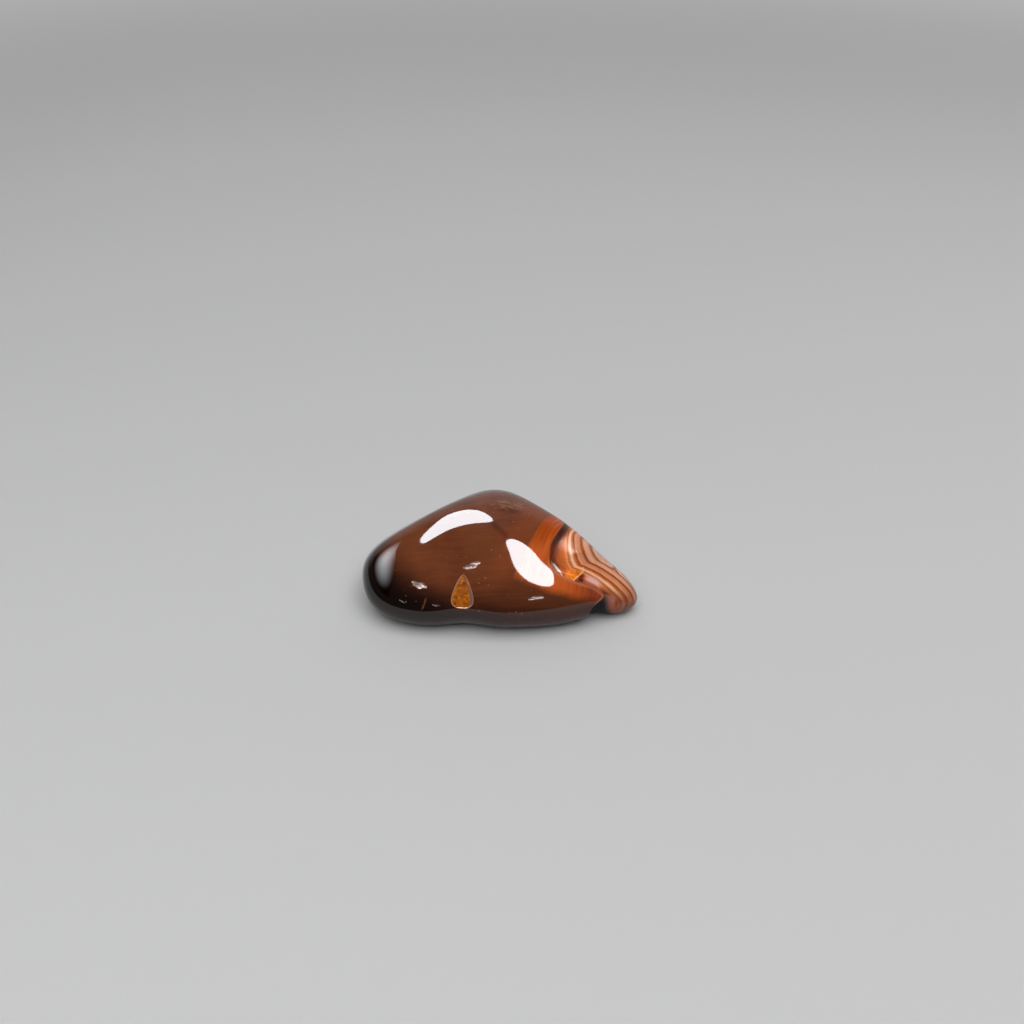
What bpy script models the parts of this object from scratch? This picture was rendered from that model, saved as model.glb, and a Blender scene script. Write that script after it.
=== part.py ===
"""A tumbled lake superior agate: one water-worn stone with a folded lip over a banded tail.

The stone lies with its long axis along X, its broad front face towards -Y and its flat spot on Z = 0.
"""
import math

import bmesh
import bpy
import numpy as np

# The stone's length drives every other size: a step is one hundredth of it, which is 1 mm on this stone.
LENGTH = 0.100
STEP = LENGTH / 100

# The worn form is an ellipsoid cut by soft facets. A facet is the azimuth and elevation it faces, in degrees,
# and its distance from the centre, in steps. A higher sharpness makes the edges between facets tighter.
CENTRE = np.array((-2.7, -1.6, 27.6))
SEMI_AXES = np.array((98.0, 37.7, 83.6))
SHARPNESS = 3.9
FACETS = {
    "front_slope": (-96.5, 47, 12.4),
    "lower_front": (-90, 4, 39.4),
    "right_shoulder": (-60.5, 41.5, 20.8),
    "left_end": (-178.5, 18.5, 42.0),
    "back_left": (129, 50, 13.9),
    "back_right": (50, 27, 16.8),
    "crown": (2.5, 79.5, 12.8),
    "underside": (73, -87.5, 29.1),
}

# The lip of the fold runs down from the crest, turns at the pit and follows the nose to the ground.
LIP_ROUTE = (
    (27.0, 1.5, 29.5),
    (24.2, -4.5, 31.5),
    (21.6, -9.6, 32.2),
    (18.9, -14.4, 30.4),
    (17.8, -18.0, 27.2),
    (18.9, -20.8, 24.2),
    (22.0, -22.0, 21.8),
    (27.5, -22.3, 19.0),
    (33.0, -21.9, 16.5),
    (37.2, -22.1, 13.1),
    (37.0, -22.9, 11.6),
    (35.0, -24.2, 10.1),
    (33.3, -25.3, 7.6),
    (32.8, -24.3, 3.8),
    (31.5, -20.5, 0.8),
    (27.0, -14.0, -0.8),
)
LIP_SAMPLES_PER_SPAN = 16
# At each point of the route: how deep the fold drops under the lip, how wide its wall is, how much of the
# rounding lies before the lip, and how far the banded tail takes to rise again.
FOLD_DEPTH = (0.0, 0.4, 1.7, 3.8, 5.8, 6.8, 6.4, 5.8, 5.5, 5.3, 5.2, 5.0, 4.6, 4.0, 2.0, 0.0)
WALL_WIDTH = (4.0, 3.5, 3.0, 2.6, 2.2, 1.8, 1.6, 2.4, 3.0, 2.6, 1.8, 1.4, 1.8, 2.8, 3.6, 4.0)
LIP_ROUND = (1.5, 1.2, 0.9, 0.7, 0.6, 0.5, 0.4, 0.3, 0.3, 0.3, 0.4, 0.6, 1.6, 3.0, 3.6, 3.6)
TAIL_REACH = (14.0, 14.0, 15.0, 17.0, 20.0, 22.0, 21.0, 19.0, 16.0, 14.0, 13.5, 13.0, 12.5, 12.0, 11.0, 10.0)
BLEND = 1.5

# Soft hollows: where each is centred, how far it spreads along X, Y and Z, and how deep it is pressed in.
HOLLOWS = {
    "waist": ((-12.0, -32.0, 4.0), (9.0, 12.0, 7.0), 1.8),
    "heel": ((31.0, -24.0, 0.5), (7.0, 9.0, 6.0), 1.1),
    "tail_crest": ((37.0, -8.0, 20.0), (9.0, 9.0, 9.0), 0.8),
    "back_dent": ((-12.0, 24.0, 20.0), (13.0, 14.0, 9.0), 1.6),
    "tail_back_dent": ((24.0, 10.0, 18.0), (12.0, 10.0, 8.0), 1.0),
    "left_dent": ((-34.0, 2.0, 26.0), (12.0, 14.0, 10.0), 0.5),
}

# The teardrop pit where a quartz grain stands bare: its tip, its foot, its width and its depth.
TEARDROP_TIP = np.array((-12.3, -23.2, 22.4))
TEARDROP_FOOT = np.array((-12.7, -30.0, 12.4))
TEARDROP_WIDTH = 7.8
TEARDROP_DEPTH = 0.4
TEARDROP_RIM = 0.7
# The outline widens with the first power, and closes at its foot with the second.
TEARDROP_POINTEDNESS = 0.62
TEARDROP_ROUNDNESS = 6

# The starting ball is stretched and moved to the stone's rough proportions, so that its faces spread evenly.
BALL_MIDDLE = np.array((2.0, -3.0, 15.0))
BALL_SIZE = np.array((52.0, 31.0, 21.0))
BALL_SUBDIVISIONS = 4
# The longest edge that the mesh may have, by its distance from the lip or the teardrop's rim.
EDGE_DISTANCES = (0.8, 2.2, 5.0, 8.0)
EDGE_LENGTHS = (0.8, 1.45, 2.6, 4.0)
REFINE_PASSES = 4
# How near the ground a corner counts as lying on it, in metres.
CUT_TOLERANCE = 1e-7

STONE_COLOUR = (0.105, 0.036, 0.017, 1.0)
STONE_ROUGHNESS = 0.08


def direction(azimuth, elevation):
    """The unit vector that faces the azimuth and elevation, in degrees."""
    azimuth, elevation = math.radians(azimuth), math.radians(elevation)
    level = math.cos(elevation)
    return np.array((level * math.cos(azimuth), level * math.sin(azimuth), math.sin(elevation)))


def smooth(t):
    """A soft step from 0 to 1 as t goes from 0 to 1."""
    t = np.clip(t, 0.0, 1.0)
    return t * t * (3 - 2 * t)


def unit(vectors):
    """The vectors scaled to a length of 1."""
    return vectors / np.linalg.norm(vectors, axis=-1, keepdims=True)


def worn_form(rays):
    """The point of the facetted ellipsoid that each ray from the centre meets."""
    reach = unit(rays / SEMI_AXES) * SEMI_AXES
    total = np.ones(len(reach))
    for azimuth, elevation, distance in FACETS.values():
        total += np.maximum(0.0, reach @ direction(azimuth, elevation) / distance) ** SHARPNESS
    return CENTRE + reach / total[:, None] ** (1 / SHARPNESS)


def outward(points):
    """The direction in which the worn form faces at points on or near it."""
    offset = points - CENTRE
    scaled = offset / SEMI_AXES
    size = np.linalg.norm(scaled, axis=-1, keepdims=True)
    slope = size ** (SHARPNESS - 2) * scaled / SEMI_AXES
    for azimuth, elevation, distance in FACETS.values():
        facing = direction(azimuth, elevation) / distance
        slope = slope + np.maximum(0.0, offset @ facing)[:, None] ** (SHARPNESS - 1) * facing
    return unit(slope)


def along(values, samples):
    """Values given at the points of a route, read at every sample of it."""
    return np.interp(samples, np.arange(len(values)), values)


def smooth_route(route, samples):
    """A smooth curve through a route's points, read at every sample of it."""
    points = np.array(route)
    first = np.minimum(samples.astype(int), len(points) - 2)
    t = (samples - first)[:, None]
    last = len(points) - 1
    before, start = points[np.maximum(first - 1, 0)], points[first]
    end, after = points[first + 1], points[np.minimum(first + 2, last)]
    return 0.5 * (2 * start + (end - before) * t + (2 * before - 5 * start + 4 * end - after) * t ** 2
                  + (3 * start - before - 3 * end + after) * t ** 3)


class Lip:
    """The lip's curve on the worn form, with the fold's sizes at every sample."""

    def __init__(self):
        spans = len(LIP_ROUTE) - 1
        samples = np.linspace(0, spans, spans * LIP_SAMPLES_PER_SPAN + 1)
        self.points = worn_form(smooth_route(LIP_ROUTE, samples) - CENTRE)
        tangents = np.gradient(self.points, axis=0)
        self.tailward = unit(np.cross(outward(self.points), tangents))
        self.sizes = [along(values, samples) for values in (FOLD_DEPTH, WALL_WIDTH, LIP_ROUND, TAIL_REACH)]

    def distance(self, points):
        """How far each point is from the lip, above 0 on the tail's side."""
        best = np.full(len(points), np.inf)
        side = np.zeros(len(points))
        for sample, tailward in zip(self.points, self.tailward):
            offset = points - sample
            distance = np.linalg.norm(offset, axis=1)
            closer = distance < best
            best[closer] = distance[closer]
            side[closer] = np.sign(offset[closer] @ tailward)
        return best * side

    def nearby_sizes(self, points, distance):
        """Each of the fold's sizes at every point, blended from the samples of the lip nearest to it."""
        weights = np.zeros(len(points))
        sums = [np.zeros(len(points)) for _ in self.sizes]
        for index, sample in enumerate(self.points):
            extra = np.linalg.norm(points - sample, axis=1) - np.abs(distance)
            weight = np.exp(-extra / BLEND)
            weights += weight
            for total, size in zip(sums, self.sizes):
                total += weight * size[index]
        return [total / weights for total in sums]

    def fold(self, points):
        """How deep the fold lies under each point of the worn form."""
        distance = self.distance(points)
        depth, wall, rounding, reach = self.nearby_sizes(points, distance)
        drop = smooth((distance + rounding) / (wall + rounding))
        rise = np.clip(1 - np.maximum(distance, 0) / reach, 0, 1) ** 2
        return depth * drop * rise


def hollows(points):
    """How deep the soft hollows lie under each point."""
    depth = np.zeros(len(points))
    for centre, spread, deepest in HOLLOWS.values():
        depth += deepest * np.exp(-np.sum(((points - centre) / spread) ** 2, axis=1))
    return depth


def teardrop_outline(t):
    """The teardrop's width at t of its length, from its tip at 0 to its foot at 1, to no scale."""
    return t ** TEARDROP_POINTEDNESS * np.sqrt(1 - t ** TEARDROP_ROUNDNESS)


def widest_of_teardrop():
    """Where along its length the teardrop is widest."""
    share = TEARDROP_POINTEDNESS / (TEARDROP_POINTEDNESS + TEARDROP_ROUNDNESS / 2)
    return share ** (1 / TEARDROP_ROUNDNESS)


def inside_teardrop(points):
    """How far each point lies inside the teardrop's outline, below 0 outside it."""
    axis = TEARDROP_FOOT - TEARDROP_TIP
    length = np.linalg.norm(axis)
    across = unit(np.cross(axis, outward(TEARDROP_TIP[None])[0]))
    place = points - TEARDROP_TIP
    along_axis = place @ axis / length ** 2
    t = np.clip(along_axis, 0.0, 1.0)
    half_width = TEARDROP_WIDTH / 2 * teardrop_outline(t) / teardrop_outline(widest_of_teardrop())
    past_end = length * np.abs(along_axis - t)
    inside = np.minimum(half_width - np.abs(place @ across), length * (1 - t)) - past_end
    on_front = points[:, 1] < CENTRE[1]
    return np.where(on_front, inside, -length)


def teardrop(points):
    """How deep the teardrop pit lies under each point."""
    return TEARDROP_DEPTH * smooth(inside_teardrop(points) / TEARDROP_RIM)


def stone_points(rays, lip):
    """The finished surface, in steps, for rays from the stone's centre."""
    points = worn_form(rays)
    depth = lip.fold(points) + hollows(points) + teardrop(points)
    return points - outward(points) * depth[:, None]


def edge_limit(places, lip):
    """The longest edge allowed at each place on the worn form."""
    from_lip = np.abs(lip.distance(places))
    from_rim = np.abs(inside_teardrop(places))
    return np.interp(np.minimum(from_lip, from_rim), EDGE_DISTANCES, EDGE_LENGTHS)


def refine(mesh, lip):
    """Split every edge that would come out longer than its place on the stone allows."""
    places = worn_form(np.array([vertex.co for vertex in mesh.verts]))
    ends = np.array([[vertex.index for vertex in edge.verts] for edge in mesh.edges])
    lengths = np.linalg.norm(places[ends[:, 0]] - places[ends[:, 1]], axis=1)
    limits = edge_limit(places, lip)[ends].min(axis=1)
    too_long = [edge for edge, split in zip(mesh.edges, lengths > limits) if split]
    bmesh.ops.subdivide_edges(mesh, edges=too_long, cuts=1, use_grid_fill=True)
    bmesh.ops.triangulate(mesh, faces=mesh.faces[:])
    mesh.verts.index_update()


def make_stone():
    """The stone as one closed mesh, cut flat on Z = 0 and centred over the origin."""
    lip = Lip()
    mesh = bmesh.new()
    bmesh.ops.create_icosphere(mesh, subdivisions=BALL_SUBDIVISIONS, radius=1.0)
    for vertex in mesh.verts:
        vertex.co = BALL_MIDDLE + BALL_SIZE * vertex.co - CENTRE
    mesh.verts.index_update()
    for _ in range(REFINE_PASSES):
        refine(mesh, lip)

    rays = np.array([vertex.co for vertex in mesh.verts])
    for vertex, point in zip(mesh.verts, stone_points(rays, lip)):
        vertex.co = point * STEP

    everything = mesh.verts[:] + mesh.edges[:] + mesh.faces[:]
    bmesh.ops.bisect_plane(mesh, geom=everything, dist=CUT_TOLERANCE, plane_no=(0, 0, 1), clear_inner=True)
    rim = [edge for edge in mesh.edges if edge.is_boundary]
    bmesh.ops.contextual_create(mesh, geom=rim)
    bmesh.ops.triangulate(mesh, faces=mesh.faces[:])
    bmesh.ops.recalc_face_normals(mesh, faces=mesh.faces[:])

    corners = np.array([vertex.co for vertex in mesh.verts])
    middle = (corners.min(axis=0) + corners.max(axis=0)) / 2
    bmesh.ops.translate(mesh, verts=mesh.verts[:], vec=(-middle[0], -middle[1], 0))
    return mesh


def stone_material():
    """Dark red-brown stone with a wet polish."""
    material = bpy.data.materials.new("polished_agate")
    material.use_nodes = True
    shader = material.node_tree.nodes["Principled BSDF"]
    shader.inputs["Base Color"].default_value = STONE_COLOUR
    shader.inputs["Roughness"].default_value = STONE_ROUGHNESS
    shader.inputs["Metallic"].default_value = 0.0
    return material


def main():
    """Clear the scene and put the stone in it."""
    for leftover in list(bpy.data.objects):
        bpy.data.objects.remove(leftover)
    collection = bpy.data.collections.new("lake_superior_agate")
    bpy.context.scene.collection.children.link(collection)

    mesh = make_stone()
    data = bpy.data.meshes.new("agate")
    mesh.to_mesh(data)
    mesh.free()
    data.materials.append(stone_material())
    data.shade_smooth()
    collection.objects.link(bpy.data.objects.new("agate", data))


main()
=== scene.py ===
# %% [markdown]
# # A polished lake superior agate
# This lesson dresses one water-worn, polished agate pebble. The stone is a dark, translucent red-brown with
# an orange zone near its right end. There a lip of the body folds over a low tail, and the fold shows the
# fortification bands that the agate is known for. The CAD solid gives the size and the place of everything,
# so it is loaded first and its box is kept.

# %% Load the frame
import math
from functools import partial, partialmethod

import bmesh
import bpy
import numpy as np
from mathutils import Matrix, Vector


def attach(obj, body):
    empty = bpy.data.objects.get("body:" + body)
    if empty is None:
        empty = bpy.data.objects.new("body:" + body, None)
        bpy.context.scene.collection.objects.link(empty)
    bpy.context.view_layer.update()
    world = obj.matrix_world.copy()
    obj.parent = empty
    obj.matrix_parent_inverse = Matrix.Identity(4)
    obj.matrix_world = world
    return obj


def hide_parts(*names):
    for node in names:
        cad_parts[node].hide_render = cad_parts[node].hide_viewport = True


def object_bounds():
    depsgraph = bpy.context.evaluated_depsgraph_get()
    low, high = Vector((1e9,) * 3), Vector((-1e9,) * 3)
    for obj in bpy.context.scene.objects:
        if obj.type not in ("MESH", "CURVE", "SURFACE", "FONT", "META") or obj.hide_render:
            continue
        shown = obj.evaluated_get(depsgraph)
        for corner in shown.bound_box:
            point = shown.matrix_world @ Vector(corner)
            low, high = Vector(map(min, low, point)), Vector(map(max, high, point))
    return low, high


MM = 0.001
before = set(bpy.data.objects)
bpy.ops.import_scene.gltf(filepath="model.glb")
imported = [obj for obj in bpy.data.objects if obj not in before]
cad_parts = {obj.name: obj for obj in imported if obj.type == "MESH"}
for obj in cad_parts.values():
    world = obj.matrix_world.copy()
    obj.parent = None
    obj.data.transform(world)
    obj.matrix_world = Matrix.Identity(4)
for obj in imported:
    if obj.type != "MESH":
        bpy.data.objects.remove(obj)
cad_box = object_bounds()
cad_size = [round((high - low) / MM, 1) for low, high in zip(*cad_box)]
print("solid of the stone:", cad_size, "mm")

# %% [markdown]
# ## The worn form
# A tumbled stone is a lump that wear has flattened on several sides, with soft edges left between the flats.
# It could be sculpted by hand, but a formula is smooth, and a polished stone shows every uneven spot. So the
# form is an ellipsoid cut by facets, and the power called sharpness blends them: a low power melts the
# facets together, and a high one leaves crisp edges. All of its numbers are in millimetres and degrees.

# %% Worn form
CENTRE = np.array((-2.7, -1.6, 27.6))
SEMI_AXES = np.array((98.0, 37.7, 83.6))
SHARPNESS = 3.9
FACETS = {
    "front_slope": (-96.5, 47, 12.4),
    "lower_front": (-90, 4, 39.4),
    "right_shoulder": (-60.5, 41.5, 20.8),
    "left_end": (-178.5, 18.5, 42.0),
    "back_left": (129, 50, 13.9),
    "back_right": (50, 27, 16.8),
    "crown": (2.5, 79.5, 12.8),
    "underside": (73, -87.5, 29.1),
}


def direction(azimuth, elevation):
    """The unit vector that faces the azimuth and elevation, in degrees."""
    azimuth, elevation = math.radians(azimuth), math.radians(elevation)
    level = math.cos(elevation)
    return np.array((level * math.cos(azimuth), level * math.sin(azimuth), math.sin(elevation)))


def smooth(t):
    """A soft step from 0 to 1 as t goes from 0 to 1."""
    t = np.clip(t, 0.0, 1.0)
    return t * t * (3 - 2 * t)


def unit(vectors):
    """The vectors scaled to a length of 1."""
    return vectors / np.linalg.norm(vectors, axis=-1, keepdims=True)


def worn_form(rays):
    """The point of the facetted ellipsoid that each ray from the centre meets."""
    reach = unit(rays / SEMI_AXES) * SEMI_AXES
    total = np.ones(len(reach))
    for azimuth, elevation, distance in FACETS.values():
        total += np.maximum(0.0, reach @ direction(azimuth, elevation) / distance) ** SHARPNESS
    return CENTRE + reach / total[:, None] ** (1 / SHARPNESS)


def outward(points):
    """The direction in which the worn form faces at points on or near it."""
    offset = points - CENTRE
    scaled = offset / SEMI_AXES
    size = np.linalg.norm(scaled, axis=-1, keepdims=True)
    slope = size ** (SHARPNESS - 2) * scaled / SEMI_AXES
    for azimuth, elevation, distance in FACETS.values():
        facing = direction(azimuth, elevation) / distance
        slope = slope + np.maximum(0.0, offset @ facing)[:, None] ** (SHARPNESS - 1) * facing
    return unit(slope)


crest = worn_form(direction(0, 90)[None])[0]
print("worn form above the centre:", np.round(crest, 1))

# %% [markdown]
# ## The fold
# Near its right end the body ends in a lip, and the tail comes out from under it. On the stone this is one
# skin that drops sharply at the lip and rises again slowly, so it is made as a drop below the worn form and
# not as two lumps. The lip's route is a smooth curve through a few points, and every size of the fold is
# given at those points. For each point of the skin the code asks how far it is from the lip and on which
# side, and blends the sizes nearby.

# %% Fold
LIP_ROUTE = (
    (27.0, 1.5, 29.5), (24.2, -4.5, 31.5), (21.6, -9.6, 32.2), (18.9, -14.4, 30.4),
    (17.8, -18.0, 27.2), (18.9, -20.8, 24.2), (22.0, -22.0, 21.8), (27.5, -22.3, 19.0),
    (33.0, -21.9, 16.5), (37.2, -22.1, 13.1), (37.0, -22.9, 11.6), (35.0, -24.2, 10.1),
    (33.3, -25.3, 7.6), (32.8, -24.3, 3.8), (31.5, -20.5, 0.8), (27.0, -14.0, -0.8),
)
LIP_SAMPLES_PER_SPAN = 16
FOLD_DEPTH = (0.0, 0.4, 1.7, 3.8, 5.8, 6.8, 6.4, 5.8, 5.5, 5.3, 5.2, 5.0, 4.6, 4.0, 2.0, 0.0)
WALL_WIDTH = (4.0, 3.5, 3.0, 2.6, 2.2, 1.8, 1.6, 2.4, 3.0, 2.6, 1.8, 1.4, 1.8, 2.8, 3.6, 4.0)
LIP_ROUND = (1.5, 1.2, 0.9, 0.7, 0.6, 0.5, 0.4, 0.3, 0.3, 0.3, 0.4, 0.6, 1.6, 3.0, 3.6, 3.6)
TAIL_REACH = (14.0, 14.0, 15.0, 17.0, 20.0, 22.0, 21.0, 19.0, 16.0, 14.0, 13.5, 13.0, 12.5, 12.0, 11.0, 10.0)
BLEND = 1.5


def along(values, samples):
    """Values given at the points of a route, read at every sample of it."""
    return np.interp(samples, np.arange(len(values)), values)


def smooth_route(route, samples):
    """A smooth curve through a route's points, read at every sample of it."""
    points = np.array(route)
    first = np.minimum(samples.astype(int), len(points) - 2)
    t = (samples - first)[:, None]
    last = len(points) - 1
    before, start = points[np.maximum(first - 1, 0)], points[first]
    end, after = points[first + 1], points[np.minimum(first + 2, last)]
    return 0.5 * (2 * start + (end - before) * t + (2 * before - 5 * start + 4 * end - after) * t ** 2
                  + (3 * start - before - 3 * end + after) * t ** 3)


class Lip:
    """The lip's curve on the worn form, with the fold's sizes at every sample."""

    def __init__(self):
        spans = len(LIP_ROUTE) - 1
        samples = np.linspace(0, spans, spans * LIP_SAMPLES_PER_SPAN + 1)
        self.points = worn_form(smooth_route(LIP_ROUTE, samples) - CENTRE)
        tangents = np.gradient(self.points, axis=0)
        self.tailward = unit(np.cross(outward(self.points), tangents))
        self.sizes = [along(values, samples) for values in (FOLD_DEPTH, WALL_WIDTH, LIP_ROUND, TAIL_REACH)]

    def distance(self, points):
        """How far each point is from the lip, above 0 on the tail's side."""
        best = np.full(len(points), np.inf)
        side = np.zeros(len(points))
        for sample, tailward in zip(self.points, self.tailward):
            offset = points - sample
            distance = np.linalg.norm(offset, axis=1)
            closer = distance < best
            best[closer] = distance[closer]
            side[closer] = np.sign(offset[closer] @ tailward)
        return best * side

    def nearby_sizes(self, points, distance):
        """Each of the fold's sizes at every point, blended from the samples of the lip nearest to it."""
        weights = np.zeros(len(points))
        sums = [np.zeros(len(points)) for _ in self.sizes]
        for index, sample in enumerate(self.points):
            extra = np.linalg.norm(points - sample, axis=1) - np.abs(distance)
            weight = np.exp(-extra / BLEND)
            weights += weight
            for total, size in zip(sums, self.sizes):
                total += weight * size[index]
        return [total / weights for total in sums]

    def fold(self, points):
        """How deep the fold lies under each point of the worn form."""
        distance = self.distance(points)
        depth, wall, rounding, reach = self.nearby_sizes(points, distance)
        drop = smooth((distance + rounding) / (wall + rounding))
        rise = np.clip(1 - np.maximum(distance, 0) / reach, 0, 1) ** 2
        return depth * drop * rise


lip = Lip()
lip_length = np.linalg.norm(np.diff(lip.points, axis=0), axis=1).sum()
print("lip:", round(lip_length, 1), "mm long")

# %% [markdown]
# ## Hollows and the teardrop
# Wear has left a few soft hollows, each a round dip that fades out on all sides. A grain of amber quartz
# stands bare in a teardrop-shaped pit on the front, and its outline is a formula along the line from its tip
# to its foot.

# %% Hollows and teardrop
HOLLOWS = {
    "waist": ((-12.0, -32.0, 4.0), (9.0, 12.0, 7.0), 1.8),
    "heel": ((31.0, -24.0, 0.5), (7.0, 9.0, 6.0), 1.1),
    "tail_crest": ((37.0, -8.0, 20.0), (9.0, 9.0, 9.0), 0.8),
    "back_dent": ((-12.0, 24.0, 20.0), (13.0, 14.0, 9.0), 1.6),
    "tail_back_dent": ((24.0, 10.0, 18.0), (12.0, 10.0, 8.0), 1.0),
    "left_dent": ((-34.0, 2.0, 26.0), (12.0, 14.0, 10.0), 0.5),
}
TEARDROP_TIP = np.array((-12.3, -23.2, 22.4))
TEARDROP_FOOT = np.array((-12.7, -30.0, 12.4))
TEARDROP_WIDTH = 7.8
TEARDROP_DEPTH = 0.4
TEARDROP_RIM = 0.7
TEARDROP_POINTEDNESS = 0.62
TEARDROP_ROUNDNESS = 6


def hollows(points):
    """How deep the soft hollows lie under each point."""
    depth = np.zeros(len(points))
    for centre, spread, deepest in HOLLOWS.values():
        depth += deepest * np.exp(-np.sum(((points - centre) / spread) ** 2, axis=1))
    return depth


def teardrop_outline(t):
    """The teardrop's width at t of its length, from its tip at 0 to its foot at 1, to no scale."""
    return t ** TEARDROP_POINTEDNESS * np.sqrt(1 - t ** TEARDROP_ROUNDNESS)


def widest_of_teardrop():
    """Where along its length the teardrop is widest."""
    share = TEARDROP_POINTEDNESS / (TEARDROP_POINTEDNESS + TEARDROP_ROUNDNESS / 2)
    return share ** (1 / TEARDROP_ROUNDNESS)


def inside_teardrop(points):
    """How far each point lies inside the teardrop's outline, below 0 outside it."""
    axis = TEARDROP_FOOT - TEARDROP_TIP
    length = np.linalg.norm(axis)
    across = unit(np.cross(axis, outward(TEARDROP_TIP[None])[0]))
    place = points - TEARDROP_TIP
    along_axis = place @ axis / length ** 2
    t = np.clip(along_axis, 0.0, 1.0)
    half_width = TEARDROP_WIDTH / 2 * teardrop_outline(t) / teardrop_outline(widest_of_teardrop())
    past_end = length * np.abs(along_axis - t)
    inside = np.minimum(half_width - np.abs(place @ across), length * (1 - t)) - past_end
    on_front = points[:, 1] < CENTRE[1]
    return np.where(on_front, inside, -length)


def teardrop(points):
    """How deep the teardrop pit lies under each point."""
    return TEARDROP_DEPTH * smooth(inside_teardrop(points) / TEARDROP_RIM)


print("teardrop:", round(float(np.linalg.norm(TEARDROP_FOOT - TEARDROP_TIP)), 1), "mm long")

# %% [markdown]
# ## Chips
# Small conchoidal chips break the polish: they are shallow scoops with a crisp rim, so each is a bowl that
# is cut off where it reaches the skin. A chip is given by its place, its half sizes along and across, its
# turn from level and its depth.

# %% Chips
CHIPS = {
    "above_teardrop": ((-9.4, -21.2, 24.8), (3.0, 0.95), 24, 0.35),
    "left_front": ((-27.9, -24.4, 18.7), (2.8, 1.15), -10, 0.4),
    "under_leaf": ((13.3, -27.9, 16.1), (2.9, 0.55), 4, 0.25),
    "low_left": ((-21.8, -29.1, 13.2), (1.5, 0.24), -4, 0.12),
    "left_foot": ((-33.9, -27.1, 13.2), (1.2, 0.22), -18, 0.1),
    "back_high": ((-20.0, 14.0, 30.0), (2.6, 1.1), 30, 0.3),
    "back_low": ((12.0, 26.0, 12.0), (2.2, 1.0), -15, 0.3),
    "back_end": ((-38.0, 12.0, 14.0), (1.8, 0.8), 60, 0.25),
}
CHIP_RAGGED = 0.34
CHIP_WAVES = (4.1, 2.9)


def inside_chip(points, chip):
    """1 or so at the middle of a chip, 0 at its rim and less outside it."""
    place, half_sizes, turn, _ = chip
    middle = worn_form((np.array(place) - CENTRE)[None])
    facing = outward(middle)[0]
    level = unit(np.cross((0.0, 0.0, 1.0), facing))
    rising = np.cross(facing, level)
    turn = math.radians(turn)
    long_way = math.cos(turn) * level + math.sin(turn) * rising
    cross_way = np.cross(facing, long_way)
    offset = points - middle
    u, v = offset @ long_way / half_sizes[0], offset @ cross_way / half_sizes[1]
    ragged = CHIP_RAGGED * np.sin(CHIP_WAVES[0] * u + CHIP_WAVES[1] * v + place[0])
    return 1 - u ** 2 - v ** 2 + ragged - np.abs(offset @ facing) / half_sizes[0]


def chip_mask(points):
    """How far each point lies inside the nearest chip, from 0 at a rim to 1 at a middle."""
    return np.max([inside_chip(points, chip) for chip in CHIPS.values()], axis=0)


def chips(points):
    """How deep the chips lie under each point."""
    return np.max([chip[3] * np.maximum(inside_chip(points, chip), 0) for chip in CHIPS.values()], axis=0)


print(len(CHIPS), "chips")

# %% [markdown]
# ## Marks for the material
# The bands show only on the tail, the quartz fills only the teardrop, and the chips are pale all over. The
# shape's own functions already know those places exactly, so their values are stored on the mesh as it is
# made, in millimetres, and the material reads them by name.

# %% Marks
MARKS = {"from_lip": lip.distance, "in_teardrop": inside_teardrop, "in_chip": chip_mask}


def mark(mesh, name, values):
    """Store one number per corner of the mesh under a name that the material reads."""
    layer = mesh.verts.layers.float.new(name)
    for vertex, value in zip(mesh.verts, values):
        vertex[layer] = float(value)
    print("marked", name, "from", round(float(values.min()), 2), "to", round(float(values.max()), 2))


print("marks:", ", ".join(MARKS))

# %% [markdown]
# ## Triangles where the shape needs them
# A polished stone needs small faces where the shape turns fast, and larger ones are enough elsewhere. So
# every edge has a longest length that depends on its distance from the lip, the teardrop's rim and the
# chips, and longer edges are split in a few passes.

# %% Refining
EDGE_DISTANCES = (0.5, 1.5, 4.0, 9.0)
EDGE_LENGTHS = (0.2, 0.32, 0.6, 0.85)
CHIP_EDGE = 0.2
CHIP_SURROUND = -0.8
WELD = 1e-4


def edge_limit(places):
    """The longest edge allowed at each place on the worn form."""
    from_lip = np.abs(lip.distance(places))
    from_rim = np.abs(inside_teardrop(places))
    limit = np.interp(np.minimum(from_lip, from_rim), EDGE_DISTANCES, EDGE_LENGTHS)
    return np.where(chip_mask(places) > CHIP_SURROUND, np.minimum(limit, CHIP_EDGE), limit)


def skin_points(rays):
    """The finished surface for rays from the stone's centre, and their places on the worn form."""
    places = worn_form(rays)
    depth = lip.fold(places) + hollows(places) + teardrop(places) + chips(places)
    return places - outward(places) * depth[:, None], places


def drop_twins(mesh):
    """Delete both faces of a pair with the same three corners, which splitting can leave behind."""
    by_corners = {}
    for face in mesh.faces:
        by_corners.setdefault(frozenset(face.verts), []).append(face)
    twins = [face for faces in by_corners.values() if len(faces) > 1 for face in faces]
    bmesh.ops.delete(mesh, geom=twins, context="FACES")


def refine(mesh):
    """Split every edge that is longer than its place on the stone allows, and say how many."""
    points, places = skin_points(np.array([vertex.co for vertex in mesh.verts]))
    ends = np.array([[vertex.index for vertex in edge.verts] for edge in mesh.edges])
    lengths = np.linalg.norm(points[ends[:, 0]] - points[ends[:, 1]], axis=1)
    limits = edge_limit(places)[ends].min(axis=1)
    too_long = [edge for edge, split in zip(mesh.edges, lengths > limits) if split]
    bmesh.ops.subdivide_edges(mesh, edges=too_long, cuts=1, use_grid_fill=True)
    bmesh.ops.triangulate(mesh, faces=mesh.faces[:])
    bmesh.ops.remove_doubles(mesh, verts=mesh.verts[:], dist=WELD)
    drop_twins(mesh)
    mesh.verts.index_update()
    return len(too_long)


print("edges:", min(EDGE_LENGTHS), "to", max(EDGE_LENGTHS), "mm")

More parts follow.
